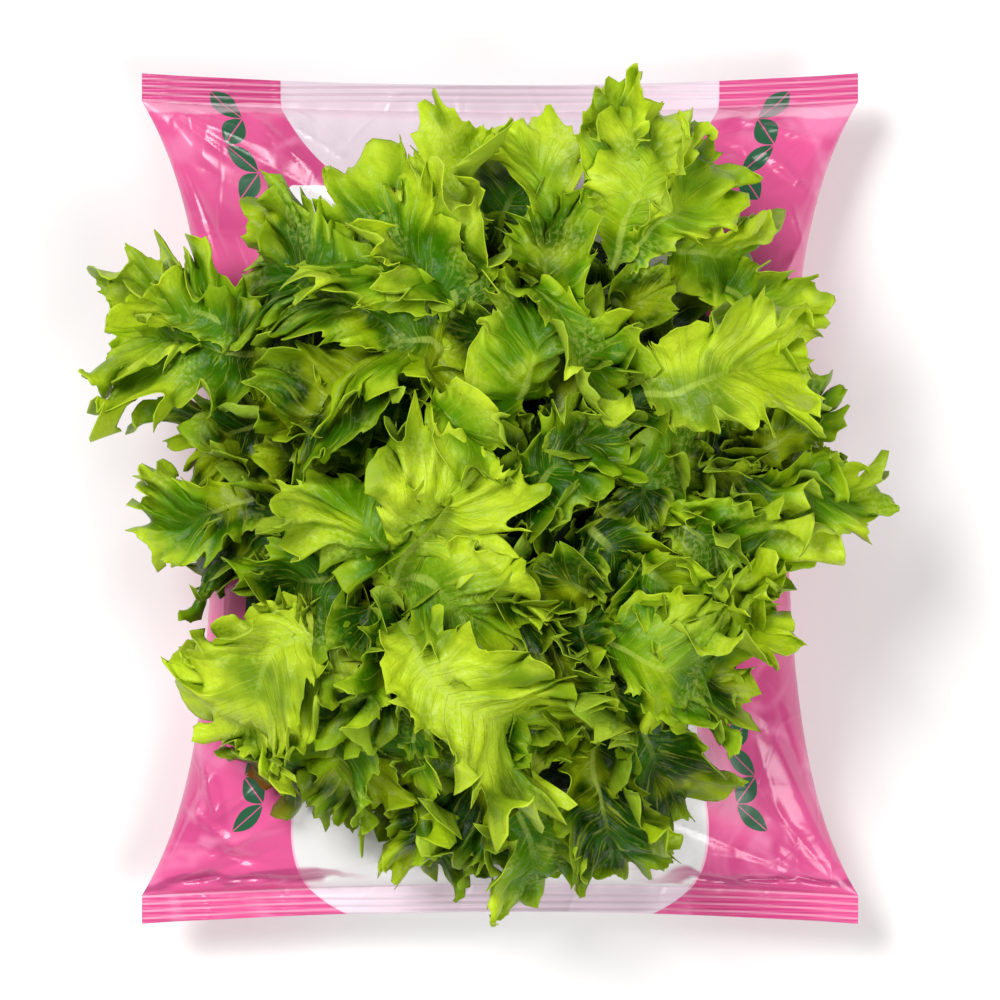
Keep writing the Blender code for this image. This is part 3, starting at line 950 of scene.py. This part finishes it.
def spots_on(tree, given):
    """Points on the core's upper side, within reach of its middle and no two closer than the gap."""
    place = sides_of(add(tree, "GeometryNodeInputPosition").outputs[0])
    squares = [maths("POWER", place[axis], 2) for axis in ("X", "Y")]
    near = maths("LESS_THAN", maths("SQRT", plus(*squares)), given["Reach"])
    facing = sides_of(add(tree, "GeometryNodeInputNormal").outputs[0])
    upper = maths("GREATER_THAN", facing["Z"], 0.2)
    inputs = {
        "Mesh": given["Geometry"],
        "Selection": times(near, upper),
        "Distance Min": given["Smallest gap"],
        "Density Max": given["Most in a square metre"],
        "Seed": given["Seed"],
    }
    how = {"distribute_method": "POISSON"}
    return add(tree, "GeometryNodeDistributePointsOnFaces", how, inputs).outputs["Points"]


def random_turns(tree, given):
    """Any heading, with a tilt up to the widest one."""
    tilt = given["Widest tilt"]
    back = times(tilt, -1.0)
    low, high = vector(tree, X=back, Y=back, Z=0.0), vector(tree, X=tilt, Y=0.0, Z=2 * math.pi)
    inputs = {0: low, 1: high, "Seed": given["Seed"]}
    return add(tree, "FunctionNodeRandomValue", {"data_type": "FLOAT_VECTOR"}, inputs).outputs[0]


def scatter_frills(made, kinds, material):
    """Turns a copy of the core into the small leaves that stand on it."""
    sizes = {
        "Smallest gap": 0.0112,
        "Most in a square metre": 9000.0,
        "Widest tilt": 1.25,
        "Reach": 0.080,
        "Lift": 0.0035,
        "Seed": 3,
    }
    tree, given = new_geometry_tree("Frills in the gaps", sizes)
    taken = {"Collection": kinds, "Separate Children": True, "Reset Children": True}
    inputs = {"Geometry": spots_on(tree, given), "Offset": vector(tree, Z=given["Lift"])}
    lifted = add(tree, "GeometryNodeSetPosition", inputs=inputs).outputs[0]
    inputs = {
        "Points": lifted,
        "Instance": add(tree, "GeometryNodeCollectionInfo", inputs=taken).outputs[0],
        "Pick Instance": True,
        "Rotation": random_turns(tree, given),
    }
    copies = add(tree, "GeometryNodeInstanceOnPoints", inputs=inputs)
    finish_tree(tree, copies.outputs[0], material)
    return apply_tree(made, tree, sizes)


print("small leaves of", len(FRILL_SHADE_TONES), "kinds, from dark to mid green, will fill the gaps")

# %% [markdown]
# ## Colours
# A colour is written as it looks on a screen, in hex, and turned into light once, here. The other
# functions each add a node or two, or lay one coat over another, so that a material below reads as a
# list of what lies over what.

# %% Colours


def colour(hex_code):
    """Linear colour of a screen colour."""
    parts = [int(hex_code[i : i + 2], 16) / 255 for i in (1, 3, 5)]
    linear = [p / 12.92 if p <= 0.04045 else ((p + 0.055) / 1.055) ** 2.4 for p in parts]
    return (*linear, 1.0)


def new_material(name):
    """A material with its tree, its Principled shader and its output."""
    made = bpy.data.materials.new(name)
    made.use_nodes = True
    nodes = made.node_tree.nodes
    return made, made.node_tree, nodes["Principled BSDF"], nodes["Material Output"]


def tint(under, share, hex_code):
    """The paint under, with a share of another colour over it."""
    inputs = {0: share, 6: under, 7: colour(hex_code)}
    return add(tree_of(share, under), "ShaderNodeMix", {"data_type": "RGBA"}, inputs).outputs[2]


def coats(paint, layers):
    """The paint with coats over it, each given as where it lies, how strong it is and its colour."""
    for where, strength, hex_code in layers:
        share = where if strength == 1 else times(where, strength)
        paint = tint(paint, share, hex_code)
    return paint


def ramp(value, low, high):
    """value as it goes from low to high, turned into 0 to 1."""
    smooth = {"interpolation_type": "SMOOTHSTEP"}
    inputs = {"Value": value, "From Min": low, "From Max": high}
    return add(tree_of(value), "ShaderNodeMapRange", smooth, inputs).outputs[0]


def noise(place, scale, detail=0.0, distortion=0.0):
    """Soft random patches, scale of them in a metre, with values about one half."""
    inputs = {"Vector": place, "Scale": scale, "Detail": detail, "Distortion": distortion}
    return add(tree_of(place), "ShaderNodeTexNoise", inputs=inputs).outputs[0]


def cell_edges(place, scale, width):
    """1 on the edges of random cells, scale of them in a metre, and 0 from the width inwards."""
    inputs = {"Vector": place, "Scale": scale}
    cells = add(tree_of(place), "ShaderNodeTexVoronoi", {"feature": "DISTANCE_TO_EDGE"}, inputs)
    return ramp(cells.outputs["Distance"], width, 0.0)


def in_metres(tree):
    """Each point's place on the object, for patterns that have a size of their own."""
    return add(tree, "ShaderNodeTexCoord").outputs["Object"]


def on_flat(tree):
    """Each point's two coordinates on the flat film or the flat leaf."""
    return sides_of(add(tree, "ShaderNodeUVMap", {"uv_map": "flat"}).outputs[0])


def value_of(tree, name):
    """A value that put_value wrote."""
    return add(tree, "ShaderNodeAttribute", {"attribute_name": name}).outputs["Fac"]


def set_inputs(node, values):
    """Sets plain values on a node's own sockets."""
    for key, value in values.items():
        node.inputs[key].default_value = value


def roughen(shader, height, strength, distance):
    """Tilts the shader's normal by a pattern of heights."""
    tree = tree_of(height)
    inputs = {"Height": height, "Strength": strength, "Distance": distance}
    tree.links.new(add(tree, "ShaderNodeBump", inputs=inputs).outputs[0], shader.inputs["Normal"])


print("a screen's mid grey in light:", round(colour("#808080")[0], 3))

# %% [markdown]
# ## Printed film
# The print is laid on the inside of a clear outer layer, so the film has one smooth gloss over every
# colour. The fields are simple shapes on the flat film: a pale arch at the top, a white label in the
# middle, a grey window with round corners below, and pink all round. Columns of small printed leaves
# stand near the four corners. Each field is a rounded rectangle, given by its centre, its half sides
# and the radius of its corners.

# %% Printed film
PINK = "#df5591"
PINK_IN_SHADE = "#c94080"
PINK_IN_LIGHT = "#ef8ab6"
PINK_WELDED = "#d04c88"
PINK_CREASE_SHADE = "#ac3870"
PINK_SHINE = "#f6d3e2"
PINK_CREST_HIGHLIGHT = "#fbd9ea"
PINK_LINE = "#f4c4d8"
PALE_LILAC = "#e2cfdb"
LABEL_PAPER = "#f4eef2"
WINDOW_GREY = "#eae8e7"
MOTIF_GREEN = "#1f5a3a"
LILAC_ARCH = ((0, 0.142), (0.0735, 0.040), 0.036)
WHITE_LABEL = ((0, 0.030), (0.0785, 0.0755), 0.003)
GREY_WINDOW = ((0, -0.060), (0.0758, 0.0860), 0.044)
WINDOW_LINE = ((0, -0.060), (0.0766, 0.0868), 0.0448)
CREASE_SHADE_AT = -0.1285
MOTIF_COLUMN = 0.0925
MOTIF_TOP = 0.119
MOTIF_LOW = 0.093
MOTIF_PITCH = 0.0095
MOTIF_HALF_LENGTH = 0.0064
MOTIF_HALF_BREADTH = 0.0038
MOTIFS_IN_COLUMN = 4


def rounded_field(x, y, centre, half, radius):
    """1 inside a rounded rectangle of the flat film, 0 outside it."""
    out = []
    for axis, middle, reach in ((x, centre[0], half[0]), (y, centre[1], half[1])):
        far = size_of(minus(axis, middle))
        out.append(minus(far, reach - radius))
    past = [maths("POWER", maths("MAXIMUM", each, 0.0), 2) for each in out]
    length = maths("SQRT", plus(*past))
    inner = maths("MINIMUM", maths("MAXIMUM", *out), 0.0)
    distance = minus(plus(length, inner), radius)
    return ramp(distance, 0.0002, -0.0002)


def leaf_motifs(x, y):
    """1 inside the small printed leaves, which lean left and right by turns."""
    upper = maths("GREATER_THAN", y, 0.0)
    middle = plus(times(upper, MOTIF_TOP - MOTIF_LOW), MOTIF_LOW)
    along = minus(size_of(y), middle)
    aside = minus(size_of(x), MOTIF_COLUMN)
    cells = maths("DIVIDE", along, MOTIF_PITCH)
    cell = times(minus(maths("FRACT", cells), 0.5), MOTIF_PITCH)
    odd = maths("FLOORED_MODULO", maths("FLOOR", cells), 2.0)
    lean = times(aside, minus(times(odd, 2.0), 1.0))
    length = times(plus(cell, lean), math.sqrt(0.5))
    breadth = size_of(times(minus(cell, lean), math.sqrt(0.5)))
    share = maths("POWER", maths("DIVIDE", length, MOTIF_HALF_LENGTH), 2.0)
    room = times(minus(1.0, share), MOTIF_HALF_BREADTH)
    inside = ramp(minus(room, breadth), -0.0001, 0.0001)
    rib = ramp(breadth, 0.0001, 0.0003)
    column = maths("LESS_THAN", size_of(cells), MOTIFS_IN_COLUMN / 2)
    return times(inside, rib, column)


def pink_print(place, y):
    """The pink, with painted shade and painted highlights in soft patches, and fuller where two layers
    are welded.
    """
    shade = ramp(noise(place, 16, 1.5, 1.2), 0.48, 0.62)
    glints = ramp(noise(place, 23, 2.0, 2.0), 0.50, 0.72)
    layers = [
        (shade, 0.7, PINK_IN_SHADE),
        (glints, 0.7, PINK_IN_LIGHT),
        (maths("GREATER_THAN", y, BODY_HALF), 1, PINK_WELDED),
    ]
    return coats(colour(PINK), layers)


def rib_crest_highlight(y):
    """1 on the crests of the crimp ribs, where a pale highlight is painted on the print."""
    far = size_of(y)
    crest = ramp(rib_wave(far, BAG_LENGTH / 2, RIB_PITCH), 0.1, 0.95)
    return times(crest, maths("GREATER_THAN", far, BODY_HALF))


def wavered(place, y, most):
    """y moved up and down at random along a seal, by up to half of most."""
    waver = minus(noise(place, 23, 2.0, 2.0), 0.5)
    return plus(y, times(waver, most))


def crease_shade_line(place, x, y):
    """1 in the dark ragged line above the lower seal: painted shade in the crease where the film folds
    over.
    """
    off = minus(wavered(place, y, 0.016), CREASE_SHADE_AT)
    line = ramp(size_of(off), 0.0026, 0.0008)
    return times(line, ramp(size_of(x), 0.040, 0.066))


def pale_shine_band(place, y):
    """1 in the narrow band below the upper seal, where a pale shine is painted on the film."""
    down = minus(BODY_HALF, wavered(place, y, 0.006))
    return times(ramp(down, 0.0042, 0.0030), maths("GREATER_THAN", down, 0.0))


def film_material():
    """Cast polypropylene comes off a polished roller, so it is glossy: each crease flashes white."""
    made, tree, shader, _ = new_material("glossy_cast_film_printed_inside")
    flat, place = on_flat(tree), in_metres(tree)
    x, y = flat["X"], flat["Y"]
    fields = (LILAC_ARCH, WHITE_LABEL, GREY_WINDOW, WINDOW_LINE)
    lilac, label, window, window_line = (rounded_field(x, y, *each) for each in fields)
    window_foot = times(window_line, maths("LESS_THAN", y, -BODY_HALF))
    layers = [
        (leaf_motifs(x, y), 1, MOTIF_GREEN),
        (window_line, 1, PINK_LINE),
        (window, 1, WINDOW_GREY),
        (label, 1, LABEL_PAPER),
        (maths("MAXIMUM", lilac, window_foot), 1, PALE_LILAC),
        # Painted highlight: pale pink on the crests of the crimp ribs.
        (rib_crest_highlight(y), 0.30, PINK_CREST_HIGHLIGHT),
        # Painted highlight: a pale band of shine below the upper seal.
        (pale_shine_band(place, y), 0.35, PINK_SHINE),
        # Painted shade: a dark ragged line in the crease above the lower seal.
        (crease_shade_line(place, x, y), 0.8, PINK_CREASE_SHADE),
    ]
    tree.links.new(coats(pink_print(place, y), layers), shader.inputs["Base Color"])
    set_inputs(shader, {"Roughness": 0.30, "IOR": 1.49, "Coat Weight": 0.3, "Coat Roughness": 0.18})
    soft = times(noise(place, 60, 3.0, 1.0), 0.5)
    creases = times(cell_edges(place, 34.0, 0.05), 0.25)
    roughen(shader, plus(soft, creases), 0.5, 0.0012)
    return made


film = film_material()
crimp_ribs(bag, film)
print("film:", len(film.node_tree.nodes), "nodes")

# %% [markdown]
# ## Lettuce
# Leaves that had light are dark green, and those from the heart of the head are yellow-green. Within one
# leaf the green drifts from dark to pale over two or three centimetres. Side veins run from the rib to
# the margin, a fine net of veins lies between them, and the rib is paler. The margin is paler too, partly
# as its own colour and partly as a painted highlight where light catches it, and the inner blade is
# painted darker as shade. The blade is so thin that light comes through it, and that gives the yellow
# glow on the side away from the lamp.

# %% Lettuce
OLD_GREEN = "#082700"
LEAF_GREEN = "#639b00"
YOUNG_GREEN = "#cee432"
DARK_CLOUD = "#2c6800"
PALE_CLOUD = "#c6de14"
DARK_STREAK = "#4d8a00"
PALE_STREAK = "#cfe244"
NET_GREEN = "#4a8600"
VEIN_GREEN = "#c6dc40"
SPECK_GREEN = "#d2e470"
RIB_GREEN = "#c8e060"
MARGIN_AND_LIT_RIM_GREEN = "#c8e428"
UNDERSIDE_GREEN = "#98b43c"
BROWN = "#7a4a12"
GLOW_YELLOW = "#d2ec00"
CORE_DARK = "#0a1800"
CORE_GREEN = "#1c3600"
SIDE_VEIN_PITCH = 0.0075
THROUGH_LIGHT = 0.22


def in_patches(along, out, patch_along, patch_out):
    """The leaf's flat map, scaled so that one patch of a pattern has the size given."""
    sides = {"X": maths("DIVIDE", along, patch_along), "Y": maths("DIVIDE", out, patch_out)}
    return vector(tree_of(along), **sides)


def net_of_veins(along, out):
    """1 on the fine veins, whose cells are longer along the side veins than across them."""
    return cell_edges(in_patches(along, out, 0.0016, 0.0034), 1.0, 0.14)


def side_veins(along, edge):
    """1 on the side veins, which fade before they reach the margin."""
    wave = size_of(maths("SINE", times(along, math.pi / SIDE_VEIN_PITCH)))
    line = maths("POWER", minus(1.0, wave), 10.0)
    return times(line, ramp(edge, 0.9, 0.5))


def streaks_of(along, out):
    """Long soft patches that lie along the side veins."""
    return noise(in_patches(along, out, 0.0022, 0.011), 1.0, 2.0)


def pale_specks(place):
    """1 in patches of fine specks, where the blisters of the blade catch the light."""
    speck = ramp(noise(place, 650, 1.0), 0.42, 0.62)
    return times(speck, ramp(noise(place, 55), 0.50, 0.68))


def lettuce_paint(place, along, out, vein):
    """The colour of a leaf's blade, from its tone and from where on the leaf the point lies."""
    tree = tree_of(place)
    edge = value_of(tree, "leaf_edge")
    # Painted light: the inner blade is darkened and the margin lightened, as light falls on a curled
    # leaf.
    lit_margin = times(ramp(edge, 0.2, 1.0), 0.24)
    tone = plus(value_of(tree, "leaf_tone"), minus(lit_margin, 0.14))
    young = ramp(tone, -0.1, 0.5)
    cloud = noise(place, 40, 2.0)
    streak = streaks_of(along, out)
    near_rib = ramp(size_of(out), RIB_HALF_BREADTH, 0.4 * RIB_HALF_BREADTH)
    rib = times(near_rib, ramp(value_of(tree, "leaf_share"), 0.85, 0.2))
    layers = [
        (ramp(tone, 0.0, 0.75), 1, LEAF_GREEN),
        (ramp(tone, 0.45, 1.0), 1, YOUNG_GREEN),
        (ramp(cloud, 0.52, 0.32), 0.7, DARK_CLOUD),
        (ramp(cloud, 0.52, 0.68), 0.55, PALE_CLOUD),
        (ramp(streak, 0.5, 0.3), 0.3, DARK_STREAK),
        (ramp(streak, 0.54, 0.72), 0.3, PALE_STREAK),
        (net_of_veins(along, out), 0.13, NET_GREEN),
        (vein, 0.35, VEIN_GREEN),
        (times(pale_specks(place), young), 0.3, SPECK_GREEN),
        (rib, 0.5, RIB_GREEN),
        # The pale margin is partly the leaf's own colour and partly a painted highlight on its lit rim.
        (ramp(edge, 0.6, 1.0), 0.35, MARGIN_AND_LIT_RIM_GREEN),
        (times(value_of(tree, "leaf_under"), young), 0.45, UNDERSIDE_GREEN),
        (value_of(tree, "leaf_brown"), 1, BROWN),
    ]
    return coats(colour(OLD_GREEN), layers)


def lettuce_material():
    """A grown, waxy skin over soft blisters: broad soft highlights, broken up into specks."""
    made, tree, shader, output = new_material("fresh_waxy_lettuce_leaf")
    flat, place = on_flat(tree), in_metres(tree)
    along = plus(flat["X"], times(noise(place, 90), 0.004))
    vein = side_veins(along, value_of(tree, "leaf_edge"))
    paint = lettuce_paint(place, along, flat["Y"], vein)
    tree.links.new(paint, shader.inputs["Base Color"])
    set_inputs(shader, {"Roughness": 0.36, "IOR": 1.42, "Specular IOR Level": 0.24})
    blisters = minus(noise(place, 190, 3.0), times(vein, 0.18))
    roughen(shader, blisters, 0.7, 0.0016)
    glow = add(tree, "ShaderNodeBsdfTranslucent", inputs={"Color": tint(paint, 0.6, GLOW_YELLOW)})
    shaders = {0: THROUGH_LIGHT, 1: shader.outputs[0], 2: glow.outputs[0]}
    both = add(tree, "ShaderNodeMixShader", inputs=shaders)
    tree.links.new(both.outputs[0], output.inputs["Surface"])
    return made


def core_material():
    """Leaves pressed together in the dark of the heap: nearly black green, with no gloss."""
    made, tree, shader, _ = new_material("packed_lettuce_in_shade")
    cloud = noise(in_metres(tree), 140, 5.0)
    paint = tint(colour(CORE_DARK), ramp(cloud, 0.35, 0.65), CORE_GREEN)
    tree.links.new(paint, shader.inputs["Base Color"])
    set_inputs(shader, {"Roughness": 0.8, "Specular IOR Level": 0.15})
    roughen(shader, cloud, 1.0, 0.004)
    return made


lettuce = lettuce_material()
kinds = small_leaves()
frills = scatter_frills(show("frills", core.data.copy()), kinds, lettuce)
for small in list(kinds.objects):
    bpy.data.objects.remove(small)
bpy.data.collections.remove(kinds)
for piece in leaf_pieces:
    piece.data.materials.append(lettuce)
core.data.materials.append(core_material())
print("frills:", len(frills.data.polygons), "faces. Lettuce:", len(lettuce.node_tree.nodes), "nodes")

# %% [markdown]
# ## What each piece stands for
# Nothing moves on its own here, so every piece rides on the root. The film takes the place of the bag's
# solid. All leaves, large and small, and the core together take the place of the heap's one solid.

# %% What each piece stands for
heap_pieces = leaf_pieces + [frills, core]
for pieces, node, slot in (([bag], "salad_bag", "printed_film"), (heap_pieces, "leaf_heap", "lettuce")):
    for piece in pieces:
        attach(piece, "root")
        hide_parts(node)
print("1 piece for the bag,", len(heap_pieces), "for the heap")

# %% [markdown]
# ## Floor, light and camera
# The bag lies on white paper and is seen from straight above. Two broad lamps stand at a slant on
# opposite sides. Straight overhead they would flatten the leaves and turn the pale print white. The upper
# left lamp is the stronger one, so each fold of a leaf has a light and a dark side. The camera is far off
# with a long lens, and its picture is as wide as the photograph.

# %% Floor, light and camera
CAMERA_HEIGHT = 1.65
CAMERA_SHIFT_Y = -0.0005
PHOTO_WIDTH = 0.3352
SENSOR_MM = 36.0
FLOOR_HALF = 3.0
PAPER_WHITE = "#f7f7f6"
LIGHT_TARGET = Vector((0, 0, 0.05))
KEY_WATTS = 33
FILL_WATTS = 23
SKY_STRENGTH = 0.26


def floor():
    """A sheet of matt white paper, far wider than the picture."""
    corners = [(-1, -1, 0), (1, -1, 0), (1, 1, 0), (-1, 1, 0)]
    mesh = bpy.data.meshes.new("floor")
    mesh.from_pydata([Vector(corner) * FLOOR_HALF for corner in corners], [], [(0, 1, 2, 3)])
    paint, _, shader, _ = new_material("matt_white_paper")
    set_inputs(shader, {"Base Color": colour(PAPER_WHITE), "Roughness": 0.9})
    mesh.materials.append(paint)
    return put("floor", mesh)


def area_light(name, place, size, watts):
    """A square lamp that points at the heap."""
    data = bpy.data.lights.new(name, "AREA")
    data.size = size
    data.energy = watts
    made = put(name, data)
    made.location = place
    made.rotation_euler = (LIGHT_TARGET - made.location).to_track_quat("-Z", "Y").to_euler()
    return made


floor()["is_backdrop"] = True
area_light("key", (-0.80, 0.70, 1.70), 0.80, KEY_WATTS)
area_light("fill", (0.80, -0.75, 1.70), 1.00, FILL_WATTS)
world = bpy.data.worlds.new("white_studio")
world.use_nodes = True
set_inputs(world.node_tree.nodes["Background"], {"Color": (1, 1, 1, 1), "Strength": SKY_STRENGTH})
bpy.context.scene.world = world
bpy.context.scene.view_settings.view_transform = "Standard"

lens = bpy.data.cameras.new("overhead")
lens.sensor_width = SENSOR_MM
lens.lens = SENSOR_MM * (CAMERA_HEIGHT - SEAM_HEIGHT) / PHOTO_WIDTH
camera = put("overhead", lens)
camera.location = (0, CAMERA_SHIFT_Y, CAMERA_HEIGHT)
bpy.context.scene.camera = camera
print("lens:", round(lens.lens), "mm")

# %% [markdown]
# ## Last measurements
# The finished scene may stand only a little outside the solids, because whoever places the part in a
# scene of their own counts on its box. Both boxes are kept side by side.

# %% Last measurements
scene_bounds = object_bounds()
boxes = {"cad": cad_bounds, "scene": scene_bounds}
for box, (low, high) in boxes.items():
    print(box, [round(1000 * float(b - a), 1) for a, b in zip(low, high)], "mm")
